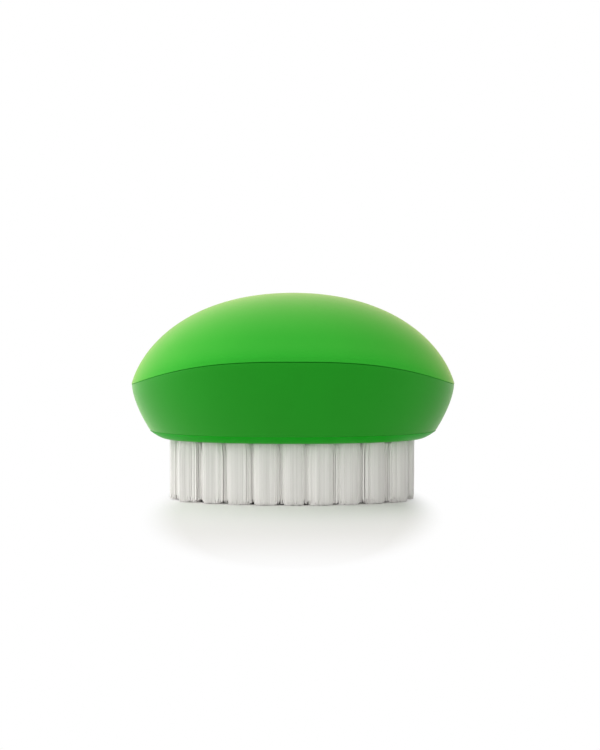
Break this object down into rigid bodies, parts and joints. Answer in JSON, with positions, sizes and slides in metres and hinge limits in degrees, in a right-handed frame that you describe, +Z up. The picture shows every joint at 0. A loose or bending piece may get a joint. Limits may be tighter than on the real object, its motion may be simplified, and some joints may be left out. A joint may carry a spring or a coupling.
{
  "type": "vegetable brush",
  "caption": "Palm-held vegetable brush: soft-touch domed grip over a flared skirt, with an oval block of short stiff bristle tufts underneath.",
  "frame": {"origin": "on the surface that the bristle tips stand on, under the middle of the brush", "axes": "+X along the brush's long side, +Y across it, +Z up from the bristle tips to the crown"},
  "size_m": [0.1, 0.063, 0.064],
  "materials": {
    "soft_green": "soft-touch satin, no texture",
    "rim_green": "moulded satin",
    "core_grey": "as moulded, out of sight",
    "bristle_white": "translucent filament"
  },
  "bodies": {
    "root": {"grip_cover": "soft_green", "body_skirt": "soft_green", "bristle_block": "rim_green", "core_frame": "core_grey", "tuft_01": "bristle_white", "tuft_02": "bristle_white", "tuft_03": "bristle_white", "tuft_04": "bristle_white", "tuft_05": "bristle_white", "tuft_06": "bristle_white", "tuft_07": "bristle_white", "tuft_08": "bristle_white", "tuft_09": "bristle_white", "tuft_10": "bristle_white", "tuft_11": "bristle_white", "tuft_12": "bristle_white", "tuft_13": "bristle_white", "tuft_14": "bristle_white", "tuft_15": "bristle_white", "tuft_16": "bristle_white", "tuft_17": "bristle_white", "tuft_18": "bristle_white", "tuft_19": "bristle_white", "tuft_20": "bristle_white", "tuft_21": "bristle_white", "tuft_22": "bristle_white", "tuft_23": "bristle_white", "tuft_24": "bristle_white", "tuft_25": "bristle_white", "tuft_26": "bristle_white", "tuft_27": "bristle_white", "tuft_28": "bristle_white", "tuft_29": "bristle_white", "tuft_30": "bristle_white", "tuft_31": "bristle_white", "tuft_32": "bristle_white", "tuft_33": "bristle_white", "tuft_34": "bristle_white", "tuft_35": "bristle_white", "tuft_36": "bristle_white", "tuft_37": "bristle_white", "tuft_38": "bristle_white", "tuft_39": "bristle_white"}
  },
  "joints": []
}
